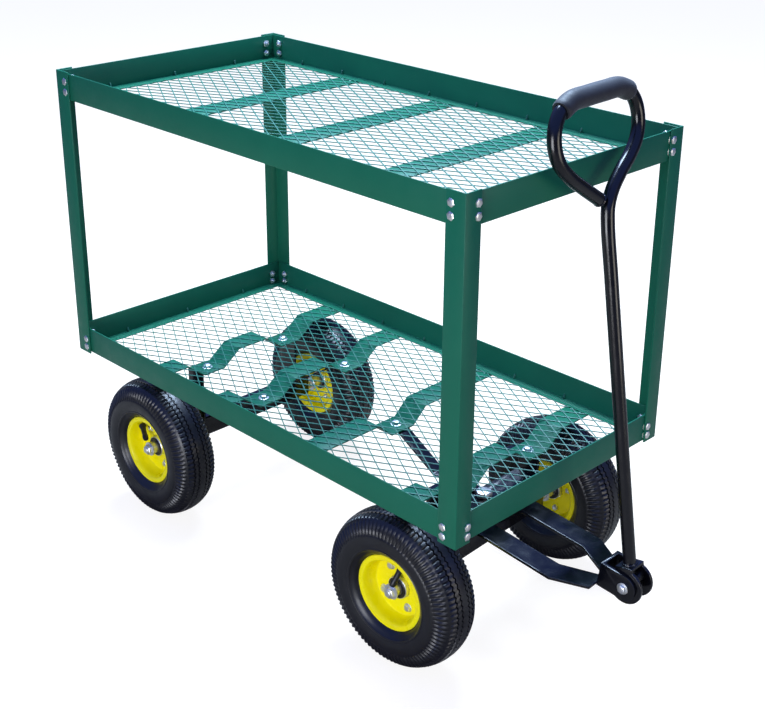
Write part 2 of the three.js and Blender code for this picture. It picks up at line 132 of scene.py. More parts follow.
# %% [markdown]
# ## Floor and light
# A pale matt floor, a broad bluish light overhead like an open sky, and weaker neutral ones low on the
# left and the right. The overhead light is much the strongest, so the tops of the straps come out bright
# and the rails' sides deep. The sky is blue above and dim at the horizon: polished black paint and rubber
# show that blue wherever they face up. The floor glows a little to the lens, which keeps it pale without
# throwing light back up at the trolley.

# %% Floor finish
# Rolled matt floor paint: no shine at all, only a very slow drift from one pale tone to the next.
CLOUD_MM, FLOOR_GLOW = 400, 0.88
studio, tree, output, place = blank_material("matt_studio_floor")
cloud = add_node(
    tree,
    "ShaderNodeTexNoise",
    {"Vector": place, "Scale": 1 / (CLOUD_MM * MM), "Detail": 3.0, "Roughness": 0.55},
).outputs["Fac"]
tone = add_node(
    tree,
    "ShaderNodeMix",
    {"Factor": cloud, "A": colour("#8F8270"), "B": colour("#8A7D6C")},
    data_type="RGBA",
).outputs["Result"]
surface = add_node(tree, "ShaderNodeBsdfPrincipled", {"Base Color": tone, "Roughness": 0.9})
glow = add_node(tree, "ShaderNodeEmission", {"Color": colour("#FFFFFF"), "Strength": FLOOR_GLOW})
unlit = add_node(tree, "ShaderNodeEmission", {"Strength": 0.0})
to_lens = add_node(tree, "ShaderNodeLightPath").outputs["Is Camera Ray"]
glow = add_node(
    tree, "ShaderNodeMixShader", {0: to_lens, 1: unlit.outputs[0], 2: glow.outputs[0]}
)
surface = add_node(tree, "ShaderNodeAddShader", {0: surface.outputs[0], 1: glow.outputs[0]})
tree.links.new(surface.outputs[0], output.inputs["Surface"])
print("floor finish:", studio.name)

# %% Floor
FLOOR_HALF = 30.0
floor_mesh = bpy.data.meshes.new("studio_floor")
floor_corners = [(-FLOOR_HALF, -FLOOR_HALF, 0), (FLOOR_HALF, -FLOOR_HALF, 0)]
floor_corners += [(FLOOR_HALF, FLOOR_HALF, 0), (-FLOOR_HALF, FLOOR_HALF, 0)]
floor_mesh.from_pydata(floor_corners, [], [(0, 1, 2, 3)])
floor_mesh.materials.append(studio)
floor = bpy.data.objects.new("studio_floor", floor_mesh)
bpy.context.scene.collection.objects.link(floor)
print(f"floor {2 * FLOOR_HALF:.0f} m across")

# %% Sky
HORIZON, SKY_TOP, SKY_STRENGTH = 0.05, 0.42, 0.9
world = bpy.data.worlds.new("pale_sky")
bpy.context.scene.world = world
world.use_nodes = True
sky = world.node_tree
sky.nodes.clear()
heading = add_node(sky, "ShaderNodeTexCoord").outputs["Generated"]
height = add_node(sky, "ShaderNodeSeparateXYZ", {"Vector": heading}).outputs["Z"]
rise = add_node(
    sky,
    "ShaderNodeMapRange",
    {"Value": height, "From Min": HORIZON, "From Max": SKY_TOP, "To Min": 0.0, "To Max": 1.0},
).outputs["Result"]
shade = add_node(
    sky,
    "ShaderNodeMix",
    {"Factor": rise, "A": colour("#504F4E"), "B": colour("#6F8CF0")},
    data_type="RGBA",
).outputs["Result"]
seen = add_node(sky, "ShaderNodeBackground", {"Color": colour("#FCFCFD"), "Strength": 1.0})
cast = add_node(sky, "ShaderNodeBackground", {"Color": shade, "Strength": SKY_STRENGTH})
by_eye = add_node(sky, "ShaderNodeLightPath").outputs["Is Camera Ray"]
both = add_node(sky, "ShaderNodeMixShader", {0: by_eye, 1: cast.outputs[0], 2: seen.outputs[0]})
add_node(sky, "ShaderNodeOutputWorld", {"Surface": both.outputs[0]})
print("sky:", world.name)


# %% Softboxes
def softbox(name, centre, target, size, power, tint):
    light = bpy.data.lights.new(name, "AREA")
    light.shape = "SQUARE"
    light.size = size
    light.energy = power
    light.color = colour(tint)[:3]
    lamp = bpy.data.objects.new(name, light)
    bpy.context.scene.collection.objects.link(lamp)
    lamp.location = centre
    lamp.rotation_euler = (Vector(target) - Vector(centre)).to_track_quat("-Z", "Y").to_euler()


softbox("overhead_softbox", (-0.8, 0.8, 3.2), (0, 0, 0.4), 1.8, 330, "#C8E2FF")
softbox("left_softbox", (0.9, -2.6, 0.55), (0, 0, 0.45), 1.3, 50, "#F4F7FF")
softbox("right_softbox", (3.0, 0.5, 0.6), (0, 0, 0.45), 1.2, 16, "#FFF8EC")
print("three softboxes hung")

# %% [markdown]
# ## Powder coat and enamel
# The rails, posts, straps and mesh are mild steel, powder coated dark green. Powder is sprayed dry and melted on,
# so it lies in a fine orange peel, a semi-gloss skin whose ripples are a millimetre or two across, and it thins
# and polishes on the edges. The black gear and the yellow rims are stoved enamel, sprayed wet, which flows out
# flatter. The peel is a low bump, and the edges are found by comparing the surface with a rounded copy of itself.
# Those edges are painted paler in patches, which is partly wear and partly a painted highlight. Paint resin has an
# IOR near 1.5. The green and the yellow are set below that, so that less of the pale room lies over their colour.

# %% A recipe for painted steel
TONE_MM, SCUFF_MM, GLOSS_MM = 70, 9, 22
# The width of the paler edge band, which is partly wear and partly a painted highlight.
RUBBED_AND_HIGHLIT_MM = 0.9


def painted_steel(name, main, shade, edge, gloss, peel_mm, peel_depth_mm, index):
    """A slow drift of tone, edges painted paler as wear and as a painted highlight, and a fine peel."""
    material, tree, output, place = blank_material(name)
    noise = []
    for size_mm, detail in ((TONE_MM, 3.0), (SCUFF_MM, 3.0), (GLOSS_MM, 3.0), (peel_mm, 1.0)):
        settings = {"Vector": place, "Scale": 1 / (size_mm * MM), "Detail": detail, "Roughness": 0.55}
        noise.append(add_node(tree, "ShaderNodeTexNoise", settings).outputs["Fac"])
    drift, scuffs, shine, peel = noise
    body = add_node(
        tree,
        "ShaderNodeMix",
        {"Factor": drift, "A": colour(main), "B": colour(shade)},
        data_type="RGBA",
    ).outputs["Result"]
    rounded = add_node(tree, "ShaderNodeBevel", {"Radius": RUBBED_AND_HIGHLIT_MM * MM}, samples=4)
    flat = add_node(tree, "ShaderNodeNewGeometry").outputs["Normal"]
    match = add_node(
        tree, "ShaderNodeVectorMath", {0: rounded.outputs["Normal"], 1: flat}, operation="DOT_PRODUCT"
    ).outputs["Value"]
    edges = add_node(
        tree,
        "ShaderNodeMapRange",
        {"Value": match, "From Min": 0.86, "From Max": 0.995, "To Min": 1.0, "To Max": 0.0},
    ).outputs["Result"]
    # Paler colour on the edges, in patches: partly wear, partly a painted highlight.
    rubbed_and_highlit = add_node(tree, "ShaderNodeMath", {0: edges, 1: scuffs}, operation="MULTIPLY").outputs[0]
    skin = add_node(
        tree, "ShaderNodeMix", {"Factor": rubbed_and_highlit, "A": body, "B": colour(edge)}, data_type="RGBA"
    ).outputs["Result"]
    gloss_range = {"From Min": 0.3, "From Max": 0.7, "To Min": gloss - 0.05, "To Max": gloss + 0.09}
    roughness = add_node(tree, "ShaderNodeMapRange", {"Value": shine, **gloss_range})
    bump = add_node(
        tree, "ShaderNodeBump", {"Height": peel, "Distance": peel_depth_mm * MM, "Strength": 1.0}
    )
    surface = add_node(
        tree,
        "ShaderNodeBsdfPrincipled",
        {
            "Base Color": skin,
            "Roughness": roughness.outputs["Result"],
            "Normal": bump.outputs["Normal"],
            "IOR": index,
        },
    )
    tree.links.new(surface.outputs["BSDF"], output.inputs["Surface"])
    return material


print("edges are rubbed within", RUBBED_AND_HIGHLIT_MM, "mm")

# %% Mix the paints
finishes = {}
# Melted powder on the rails, posts and straps: semi-gloss, so light lies on it in soft broad streaks.
finishes["green_powder_coat"] = painted_steel(
    "powder_coated_steel_green", "#1A6B4F", "#176349", "#3C8F76", 0.36, 2.0, 0.05, 1.3
)
# The same powder on thin strands, which are nearly all edge. It is mixed paler than the rails' green, a painted
# highlight for strands that catch light from all round, and its edges paler again, for wear and as a painted
# highlight.
finishes["green_mesh"] = painted_steel(
    "powder_coated_mesh_green_painted_highlight", "#2B6E5A", "#246450", "#5FA08C", 0.34, 2.0, 0.04, 1.35
)
# Stoved enamel on the handle and running gear: near black, smooth, with crisp bluish highlights. Its edges are
# mixed a bluish grey, a painted highlight of the sky along worn edges.
finishes["black_enamel"] = painted_steel(
    "stoved_enamel_black", "#07070B", "#0A0B10", "#2E3348", 0.17, 3.0, 0.025, 1.52
)
# Stoved enamel on the rims: a clear bright yellow with one soft highlight round the dish, and a pale yellow
# painted highlight along its edges.
finishes["yellow_enamel"] = painted_steel(
    "stoved_enamel_yellow", "#FFF600", "#FCE600", "#FFF98A", 0.27, 3.5, 0.02, 1.36
)
print("painted finishes:", ", ".join(m.name for m in finishes.values()))

# %% [markdown]
# ## Zinc plate, rubber and foam
# The bolts and axles are bright zinc plated: a metal, so its colour is its reflection, with faint blue
# and straw patches left by the passivating bath. The tyres are moulded natural rubber with carbon black,
# smooth from the mould but dulled by bloom. The grip is closed-cell foam, whose cut cells are about half
# a millimetre across and are drawn a little coarser than that so that they show.

# %% Zinc plate
# Bath-plated zinc: satin, bright and cool, with each bolt a slightly different grey.
material, tree, output, place = blank_material("zinc_plated_steel")
noise = []
for size_mm in (11, 6, 4, 1.2):
    settings = {"Vector": place, "Scale": 1 / (size_mm * MM), "Detail": 3.0, "Roughness": 0.55}
    noise.append(add_node(tree, "ShaderNodeTexNoise", settings).outputs["Fac"])
blue_patches, straw_patches, satin, pitting = noise
cool = add_node(
    tree,
    "ShaderNodeMix",
    {"Factor": blue_patches, "A": colour("#F2F4F5"), "B": colour("#E2E9F2")},
    data_type="RGBA",
).outputs["Result"]
straw = add_node(
    tree,
    "ShaderNodeMapRange",
    {"Value": straw_patches, "From Min": 0.3, "From Max": 0.7, "To Min": 0.0, "To Max": 0.4},
).outputs["Result"]
tint = add_node(
    tree, "ShaderNodeMix", {"Factor": straw, "A": cool, "B": colour("#DDD2AC")}, data_type="RGBA"
).outputs["Result"]
roughness = add_node(
    tree,
    "ShaderNodeMapRange",
    {"Value": satin, "From Min": 0.3, "From Max": 0.7, "To Min": 0.3, "To Max": 0.46},
).outputs["Result"]
bump = add_node(tree, "ShaderNodeBump", {"Height": pitting, "Distance": 0.02 * MM, "Strength": 1.0})
surface = add_node(
    tree,
    "ShaderNodeBsdfPrincipled",
    {
        "Base Color": tint,
        "Metallic": 1.0,
        "Roughness": roughness,
        "Normal": bump.outputs["Normal"],
    },
)
tree.links.new(surface.outputs["BSDF"], output.inputs["Surface"])
finishes["zinc_plated_steel"] = material
print("plated finish:", material.name)

# %% A recipe for rubber and foam
BLOOM_MM, DULL_MM = 35, 12


def soft_black(name, main, bloom, gloss, cell_mm, cell_depth_mm, sheen):
    """Black with a patchy grey bloom, a dull gloss, and the mould's or the cells' fine texture."""
    material, tree, output, place = blank_material(name)
    noise = []
    for size_mm, detail in ((BLOOM_MM, 3.0), (DULL_MM, 3.0), (cell_mm, 2.0)):
        settings = {"Vector": place, "Scale": 1 / (size_mm * MM), "Detail": detail, "Roughness": 0.55}
        noise.append(add_node(tree, "ShaderNodeTexNoise", settings).outputs["Fac"])
    patches, dullness, cells = noise
    bloomed = add_node(
        tree,
        "ShaderNodeMapRange",
        {"Value": patches, "From Min": 0.3, "From Max": 0.7, "To Min": 0.0, "To Max": 1.0},
    ).outputs["Result"]
    skin = add_node(
        tree,
        "ShaderNodeMix",
        {"Factor": bloomed, "A": colour(main), "B": colour(bloom)},
        data_type="RGBA",
    ).outputs["Result"]
    gloss_range = {"From Min": 0.3, "From Max": 0.7, "To Min": gloss - 0.06, "To Max": gloss + 0.08}
    roughness = add_node(tree, "ShaderNodeMapRange", {"Value": dullness, **gloss_range})
    bump = add_node(
        tree, "ShaderNodeBump", {"Height": cells, "Distance": cell_depth_mm * MM, "Strength": 1.0}
    )
    surface = add_node(
        tree,
        "ShaderNodeBsdfPrincipled",
        {
            "Base Color": skin,
            "Roughness": roughness.outputs["Result"],
            "Normal": bump.outputs["Normal"],
            "IOR": 1.52,
            "Sheen Weight": sheen,
            "Sheen Roughness": 0.4,
        },
    )
    tree.links.new(surface.outputs["BSDF"], output.inputs["Surface"])
    return material


print("rubber bloom drifts over", BLOOM_MM, "mm")

# %% Mix the rubber and foam, and paint every part
# Moulded tyre rubber: dark grey rather than black, with a soft wide highlight on each rib.
finishes["tyre_rubber"] = soft_black("moulded_tyre_rubber", "#08080C", "#0E0F15", 0.36, 1.6, 0.03, 0.02)
# Moulded butyl, for tubes, valves and seals: a little duller and smoother than the tyre.
finishes["tube_rubber"] = soft_black("moulded_butyl_rubber", "#08080A", "#0D0D10", 0.42, 1.2, 0.02, 0.02)
# Foam cut from a tube: matt, finely pitted, and faintly pale where it turns away from the eye.
finishes["foam"] = soft_black("cut_closed_cell_foam", "#0E0F14", "#14161C", 0.6, 0.8, 0.12, 0.2)
for node, part in frame["nodes"].items():
    part.data.materials.clear()
    part.data.materials.append(finishes[slot_of[node]])
print("all parts painted with", len(finishes), "finishes")

# %% [markdown]
# ## Helpers for shapes
# Steel parts start from the engineering shape and only need their edges rounded. Round things are turned
# from a profile, as on a lathe, and bent tubes and weld beads are swept along a line. Each helper adds to
# a mesh being built, so that several can go into one piece.


# %% Pieces and rounded copies
def add_piece(name, shape, finish, body, replaces=(), sharp_degrees=32):
    """Turns a built shape into a piece that rides on a body."""
    bmesh.ops.recalc_face_normals(shape, faces=shape.faces[:])
    mesh = bpy.data.meshes.new(name)
    shape.to_mesh(mesh)
    shape.free()
    mesh.materials.append(finishes[finish])
    mesh.shade_smooth()
    mesh.set_sharp_from_angle(angle=math.radians(sharp_degrees))
    piece = bpy.data.objects.new(name, mesh)
    bpy.context.scene.collection.objects.link(piece)
    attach(piece, body)
    if replaces:
        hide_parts(*replaces)
    return piece


def rounded_copy(node, radius_mm, sharp_degrees, steps=2, corner_degrees=28):
    """A piece with a part's own shape, its edges rounded as they are after pressing and painting."""
    shape = bmesh.new()
    shape.from_mesh(frame["nodes"][node].data)
    bmesh.ops.remove_doubles(shape, verts=shape.verts[:], dist=0.01 * MM)
    bmesh.ops.dissolve_limit(
        shape, angle_limit=math.radians(0.4), verts=shape.verts[:], edges=shape.edges[:]
    )
    corners = [
        edge
        for edge in shape.edges
        if len(edge.link_faces) == 2 and edge.calc_face_angle() > math.radians(corner_degrees)
    ]
    bmesh.ops.bevel(
        shape,
        geom=corners,
        offset=radius_mm * MM,
        offset_type="OFFSET",
        segments=steps,
        profile=0.5,
        affect="EDGES",
        clamp_overlap=True,
    )
    return add_piece(f"{node}_rounded", shape, slot_of[node], body_of[node], [node], sharp_degrees)


print("pieces turn sharp at an angle of 32 degrees, unless they say otherwise")


# %% Turned shapes
def bridge(shape, first, second):
    """Faces between two rings of corners; a ring of one corner is a point."""
    count = max(len(first), len(second))
    for i in range(count):
        j = (i + 1) % count
        corners = [first[i % len(first)], first[j % len(first)]]
        corners += [second[j % len(second)], second[i % len(second)]]
        face = list(dict.fromkeys(corners))
        if len(face) > 2:
            shape.faces.new(face)


def turned(shape, profile, base, axis, sides=24, across=None, closed=False):
    """A profile of (radius, distance along the axis) pairs in millimetres, turned about the axis."""
    across = across or axis.orthogonal().normalized()
    over = axis.cross(across)
    rings = []
    for radius, distance in profile:
        centre = base + axis * (distance * MM)
        count = sides if radius > 0 else 1
        angles = [2 * math.pi * i / count for i in range(count)]
        spokes = [(across * math.cos(a) + over * math.sin(a)) * (radius * MM) for a in angles]
        rings.append([shape.verts.new(centre + spoke) for spoke in spokes])
    following = rings[1:] + rings[:1] if closed else rings[1:]
    for first, second in zip(rings, following):
        bridge(shape, first, second)


print("turned shapes have 24 sides, unless they say otherwise")


# %% Swept shapes and weld beads
def swept(shape, points, radii_mm, sides=12, first_normal=UP, round_ends=False):
    """A round section carried along a line of points, one radius for each point."""
    tangents = []
    for i in range(len(points)):
        ahead = points[min(i + 1, len(points) - 1)]
        behind = points[max(i - 1, 0)]
        tangents.append((ahead - behind).normalized())
    normal = (first_normal - tangents[0] * first_normal.dot(tangents[0])).normalized()
    rings = []
    for point, tangent, radius in zip(points, tangents, radii_mm):
        normal = (normal - tangent * normal.dot(tangent)).normalized()
        side = tangent.cross(normal)
        angles = [2 * math.pi * i / sides for i in range(sides)]
        spokes = [(normal * math.cos(a) + side * math.sin(a)) * (radius * MM) for a in angles]
        rings.append([shape.verts.new(point + spoke) for spoke in spokes])
    for first, second in zip(rings, rings[1:]):
        bridge(shape, first, second)
    for end, ring, sign in ((0, rings[0], -1), (-1, rings[-1], 1)):
        bulge = radii_mm[end] * 0.4 * MM if round_ends else 0
        tip = shape.verts.new(points[end] + tangents[end] * sign * bulge)
        bridge(shape, ring, [tip])


RIPPLE_MM, RIPPLE_SHARE, RIPPLE_TURN = 0.9, 0.14, 1.9


def bead(shape, start, end, radius_mm):
    """A weld bead: a low ridge whose ripples are one to each puddle of the torch."""
    length = (end - start).length / MM
    steps = max(6, round(length / RIPPLE_MM))
    points = [start.lerp(end, i / steps) for i in range(steps + 1)]
    radii = []
    for i in range(steps + 1):
        taper = min(1.0, 0.45 + min(i, steps - i) / 3)
        radii.append(radius_mm * taper * (1 + RIPPLE_SHARE * math.sin(i * RIPPLE_TURN)))
    swept(shape, points, radii, sides=8, round_ends=True)


print("a weld has a ripple point every", RIPPLE_MM, "mm")

# %% [markdown]
# ## Rounding the steelwork
# Rolled angle and pressed strip never have knife edges. A radius of well under a millimetre is enough
# to catch the light along each one, and it is what makes flat steel read as steel. The same treatment
# suits the straps, the brackets, the drawbar, the clevis and the yoke, so one loop makes them all.

# %% Round every steel part
EDGE_RADII = {
    "post_": 0.8,
    "upper_side": 0.7,
    "upper_end": 0.7,
    "lower_side": 0.7,
    "lower_end": 0.7,
    "upper_strap": 0.6,
    "lower_strap": 0.6,
    "rear_axle_bracket": 0.9,
    "front_bracket": 0.9,
    "steering_bracket": 0.9,
    "rear_brace": 0.8,
    "front_brace": 0.8,
    "drawbar": 1.0,
    "clevis": 1.0,
    "handle_yoke": 1.0,
    "kingpin": 0.8,
    "thrust_washer": 0.4,
}
KEPT_FOR_LATER = ("clevis_pin",)
rounded = 0
for node in sorted(frame["nodes"]):
    for start, radius in EDGE_RADII.items():
        if node.startswith(start) and node not in KEPT_FOR_LATER:
            rounded_copy(node, radius, 10 if node.startswith("drawbar") else 32)
            rounded += 1
            break
print(rounded, "steel parts have rounded edges")

# %% [markdown]
# ## The mesh floors
# Expanded mesh is one sheet, slit and pulled open, so its diamonds share strands without a joint, and
# each strand leans a little. The diamonds are 38 by 22 millimetres. A quarter of a diamond is a tile of
# three faces, and laying that tile and its mirror image across the floor makes the whole sheet, which is
# then thickened. That keeps it one clean skin, where crossing thousands of bars would not.

# %% Expanded sheet
DIAMOND_LONG, DIAMOND_SHORT = 38.0, 22.0
STRAND_WIDE, STRAND_THICK, STRAND_LEAN = 1.3, 1.1, 0.3


def expanded_sheet(shape, low, high, middle_z):
    """A leaning strand and half of each bond, laid in every quarter diamond, then given thickness."""
    columns = round((high.x - low.x) / MM / (DIAMOND_LONG / 2))
    rows = round((high.y - low.y) / MM / (DIAMOND_SHORT / 2))
    step_x = (high.x - low.x) / columns
    step_y = (high.y - low.y) / rows
    lean = math.atan2(step_y, step_x)
    tip = STRAND_WIDE * MM / 2 / math.cos(lean) / step_y
    bond, blunt = 1.25 * tip, 0.25 * tip
    corners = {}

    def corner(i, j, u, v, leaning):
        across = u if (i + j) % 2 == 0 else 1 - u
        x = low.x + (i + across) * step_x
        y = low.y + (j + v) * step_y
        key = (round(x / MM, 3), round(y / MM, 3))
        if key not in corners:
            corners[key] = shape.verts.new((x, y, middle_z + leaning * STRAND_LEAN * MM))
        return corners[key]

    for i in range(columns):
        for j in range(rows):
            bond_low = corner(i, j, 1, 0, 0)
            bond_high = corner(i, j, 0, 1, 0)
            tip_low = corner(i, j, 1 - tip, 0, 0)
            tip_high = corner(i, j, tip, 1, 0)
            side_low = corner(i, j, 1 - blunt, bond, 1)
            side_high = corner(i, j, blunt, 1 - bond, -1)
            flat_low = corner(i, j, 1, bond, 1)
            flat_high = corner(i, j, 0, 1 - bond, -1)
            shape.faces.new((tip_low, bond_low, flat_low, side_low))
            shape.faces.new((tip_low, side_low, tip_high, side_high))
            shape.faces.new((side_high, tip_high, bond_high, flat_high))
    bmesh.ops.recalc_face_normals(shape, faces=shape.faces[:])
    grown = bmesh.ops.extrude_face_region(shape, geom=shape.faces[:])
    moved = [item for item in grown["geom"] if isinstance(item, bmesh.types.BMVert)]
    bmesh.ops.translate(shape, verts=moved, vec=(0, 0, -STRAND_THICK * MM))
    return columns, rows


print(f"diamonds {DIAMOND_LONG:.0f} by {DIAMOND_SHORT:.0f} mm, strands {STRAND_WIDE} mm wide")

# %% Edge bar
EDGE_BAR_WIDE, EDGE_BAR_THICK = 5.0, 1.9


def edge_frame(shape, low, high, wide_mm):
    """A flat bar welded all round the sheet's edge."""
    inset = Vector((wide_mm, wide_mm)) * MM
    rings = []
    for z in (low.z, high.z):
        for inner in (0, 1):
            x0, y0 = low.x + inset.x * inner, low.y + inset.y * inner
            x1, y1 = high.x - inset.x * inner, high.y - inset.y * inner
            ring = [(x0, y0, z), (x1, y0, z), (x1, y1, z), (x0, y1, z)]
            rings.append([shape.verts.new(point) for point in ring])
    bottom_outer, bottom_inner, top_outer, top_inner = rings
    bridge(shape, bottom_outer, top_outer)
    bridge(shape, top_outer, top_inner)
    bridge(shape, top_inner, bottom_inner)
    bridge(shape, bottom_inner, bottom_outer)
    bmesh.ops.bevel(
        shape, geom=shape.edges[:], offset=0.4 * MM, segments=2, profile=0.5, affect="EDGES"
    )


print("edge bar", EDGE_BAR_WIDE, "mm wide")

# %% Lay both floors
SHEET_MIDDLE = 1.35  # above the bottom of the floor
for tier in ("upper", "lower"):
    low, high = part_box(f"{tier}_mesh_floor")
    inside = Vector((EDGE_BAR_WIDE, EDGE_BAR_WIDE, 0)) * 0.6 * MM
    sheet = bmesh.new()
    columns, rows = expanded_sheet(sheet, low + inside, high - inside, low.z + SHEET_MIDDLE * MM)
    # The strands take the paler mesh green, a painted highlight for thin strands lit from all round.
    add_piece(f"{tier}_expanded_mesh", sheet, "green_mesh", "chassis", [f"{tier}_mesh_floor"])
    bar = bmesh.new()
    edge_frame(bar, low, Vector((high.x, high.y, low.z + EDGE_BAR_THICK * MM)), EDGE_BAR_WIDE)
    add_piece(f"{tier}_mesh_edge_bar", bar, "green_powder_coat", "chassis")
    print(f"{tier} floor: {columns * rows // 2} diamonds")

# %% [markdown]
# ## Tack welds along the rails
# The edge bar is tacked to the side rails every 110 millimetres, and a little wider on the end rails.
# Each tack leaves a short drip of weld standing up the rail's inner face. The straps carry round spots of weld
# near each end. They were painted with the rest, so they are green too, but in the paler mesh green, which paints
# a highlight on them.

# %% Add the tack welds
TACK_SPACING, END_SPACING, TACK_START = 110.0, 137.5, 45.0
TACK_HIGH, TACK_RADIUS = 8.0, 1.7
TACK_FOOT, TACK_TOP = 3.4, 0.8  # how far its two ends stand off the rail
RAIL_THICK = 2.0
SPOT_IN = 16.0  # from a strap's end to its spots
SPOT = [(3.4, -0.4), (2.8, 0.7), (1.6, 1.4), (0, 1.6)]
for tier in ("upper", "lower"):
    tacks = bmesh.new()
    rail_low, rail_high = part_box(f"{tier}_side_rail_right")
    inner_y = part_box(f"{tier}_side_rail_left")[1].y - RAIL_THICK * MM
    inner_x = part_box(f"{tier}_end_rail_front")[1].x - RAIL_THICK * MM
    inner_x_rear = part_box(f"{tier}_end_rail_rear")[0].x + RAIL_THICK * MM
    foot_z = rail_low.z + RAIL_THICK * MM
    middle_x = (rail_low.x + rail_high.x) / 2
    places = []
    for k in range(-3, 5):
        x = middle_x + (k * TACK_SPACING - TACK_START) * MM
        places += [(Vector((x, side * inner_y, foot_z)), Vector((0, -side, 0))) for side in (-1, 1)]
    for k in range(-1, 2):
        y = k * END_SPACING * MM
        places.append((Vector((inner_x, y, foot_z)), Vector((-1, 0, 0))))
        places.append((Vector((inner_x_rear, y, foot_z)), Vector((1, 0, 0))))
    for foot, inwards in places:
        start = foot + inwards * TACK_FOOT * MM
        end = foot + inwards * TACK_TOP * MM + UP * TACK_HIGH * MM
        bead(tacks, start, end, TACK_RADIUS)
    for strap in [node for node in frame["nodes"] if node.startswith(f"{tier}_strap")]:
        strap_low, strap_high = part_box(strap)
        for side in (-1, 1):
            for x_share in (0.3, 0.7):
                x = strap_low.x + (strap_high.x - strap_low.x) * x_share
                y = side * (strap_high.y - SPOT_IN * MM)
                turned(tacks, SPOT, Vector((x, y, strap_high.z)), UP, sides=10)
    # The tacks and spots take the paler mesh green, a painted highlight, so that they show bright against the
    # rails.
    add_piece(f"{tier}_tack_welds", tacks, "green_mesh", "chassis")
print("tack welds every", TACK_SPACING, "mm")

# %% [markdown]
# ## Bolts and nuts
# Every corner is held by four bolts at each tray, two through each face of the post, with the nuts
# inside. A small bolt at this size is a washer, a six-sided head with its corners chamfered, and a
# slight dome. The nut inside has the bolt's end showing through it.


# %% Bolt helpers
def bolt_head(shape, place, axis, half_mm, high_mm):
    washer = [(0, 0.0), (half_mm * 1.32, 0.0), (half_mm * 1.32, 0.7), (half_mm * 1.2, 1.0), (0, 1.0)]
    turned(shape, washer, place, axis, sides=20)
    top = 1.0 + high_mm
    head = [(0, 0.9), (half_mm, 0.9), (half_mm, top - 0.9), (half_mm * 0.82, top - 0.1)]
    head += [(half_mm * 0.45, top + 0.15), (0, top + 0.2)]
    turned(shape, head, place, axis, sides=6)


def nut_and_end(shape, place, axis, half_mm, high_mm, thread_mm):
    nut = [(0, 0.0), (half_mm * 0.88, 0.0), (half_mm, 0.8), (half_mm, high_mm - 0.8)]
    nut += [(half_mm * 0.88, high_mm), (0, high_mm)]
    turned(shape, nut, place, axis, sides=6)
    end = high_mm + 3.0
    stub = [(0, 1.0), (thread_mm, 1.0), (thread_mm, end - 0.6), (thread_mm * 0.75, end), (0, end)]
    turned(shape, stub, place, axis, sides=14)


print("bolt helpers ready")

# %% Corner bolts
BOLT_IN, END_BOLT_IN = 25.0, 24.0  # from a post's corner to its side bolts and its end bolts
BOLT_HEIGHTS = {"upper": (13.0, 31.0), "lower": (8.5, 23.5)}
# The heads are set into the posts, which hides their washers, to keep them near the engineering box.
BOLT_HALF, HEAD_HIGH, HEAD_SUNK = 6.5, 4.6, 3.5
NUT_HIGH, THREAD_RADIUS = 4.5, 2.9
for tier, heights in BOLT_HEIGHTS.items():
    bolts = bmesh.new()
    rail_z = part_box(f"{tier}_side_rail_right")[0].z
    side_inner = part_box(f"{tier}_side_rail_left")[1].y - RAIL_THICK * MM
    for end, sx in (("rear", -1), ("front", 1)):
        end_low, end_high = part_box(f"{tier}_end_rail_{end}")
        end_outer = end_high.x if sx > 0 else end_low.x
        for side, sy in (("right", -1), ("left", 1)):
            post_low, post_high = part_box(f"post_{end}_{side}")
            corner_x = post_high.x if sx > 0 else post_low.x
            corner_y = post_high.y if sy > 0 else post_low.y
            for height in heights:
                z = rail_z + height * MM
                x = corner_x - sx * BOLT_IN * MM
                y = corner_y - sy * END_BOLT_IN * MM
                out_y, out_x = Vector((0, sy, 0)), Vector((sx, 0, 0))
                sunk = HEAD_SUNK * MM
                bolt_head(bolts, Vector((x, corner_y - sy * sunk, z)), out_y, BOLT_HALF, HEAD_HIGH)
                bolt_head(bolts, Vector((corner_x - sx * sunk, y, z)), out_x, BOLT_HALF, HEAD_HIGH)
                side_nut = Vector((x, sy * side_inner, z))
                nut_and_end(bolts, side_nut, -out_y, BOLT_HALF, NUT_HIGH, THREAD_RADIUS)
                end_nut = Vector((end_outer - sx * RAIL_THICK * MM, y, z))
                nut_and_end(bolts, end_nut, -out_x, BOLT_HALF, NUT_HIGH, THREAD_RADIUS)
    add_piece(f"{tier}_corner_bolts", bolts, "zinc_plated_steel", "chassis")
print("corner bolts on", len(BOLT_HEIGHTS), "trays")

# %% [markdown]
# ## Running-gear bolts
# The axle brackets and braces are bolted up into the straps' dips, so a bright bolt head shows near the
# middle of each dip through the mesh.

# %% Strap bolts
STRAP_BOLTS = {
    "lower_strap_rear": (-90.0, 90.0),
    "lower_strap_rear_brace": (-96.0, 96.0),
    "lower_strap_front_brace": (0.0,),
    "lower_strap_front": (-90.0, 90.0),
}
STRAP_THICK, FOOT_THICK, FOOT_GAP = 2.5, 4.0, 0.3
GEAR_BOLT_HALF, GEAR_NUT_HIGH, GEAR_THREAD = 7.0, 6.0, 4.0
strap_bolts = bmesh.new()
for strap, positions in STRAP_BOLTS.items():
    low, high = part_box(strap)
    for y in positions:
        x = (low.x + high.x) / 2
        dip_top = Vector((x, y * MM, low.z + STRAP_THICK * MM))
        bolt_head(strap_bolts, dip_top, UP, GEAR_BOLT_HALF, HEAD_HIGH)
        under = Vector((x, y * MM, low.z - (FOOT_THICK + FOOT_GAP) * MM))
        nut_and_end(strap_bolts, under, -UP, GEAR_BOLT_HALF, GEAR_NUT_HIGH, GEAR_THREAD)
add_piece("strap_bolts", strap_bolts, "zinc_plated_steel", "chassis")
print(sum(len(p) for p in STRAP_BOLTS.values()), "running-gear bolts")

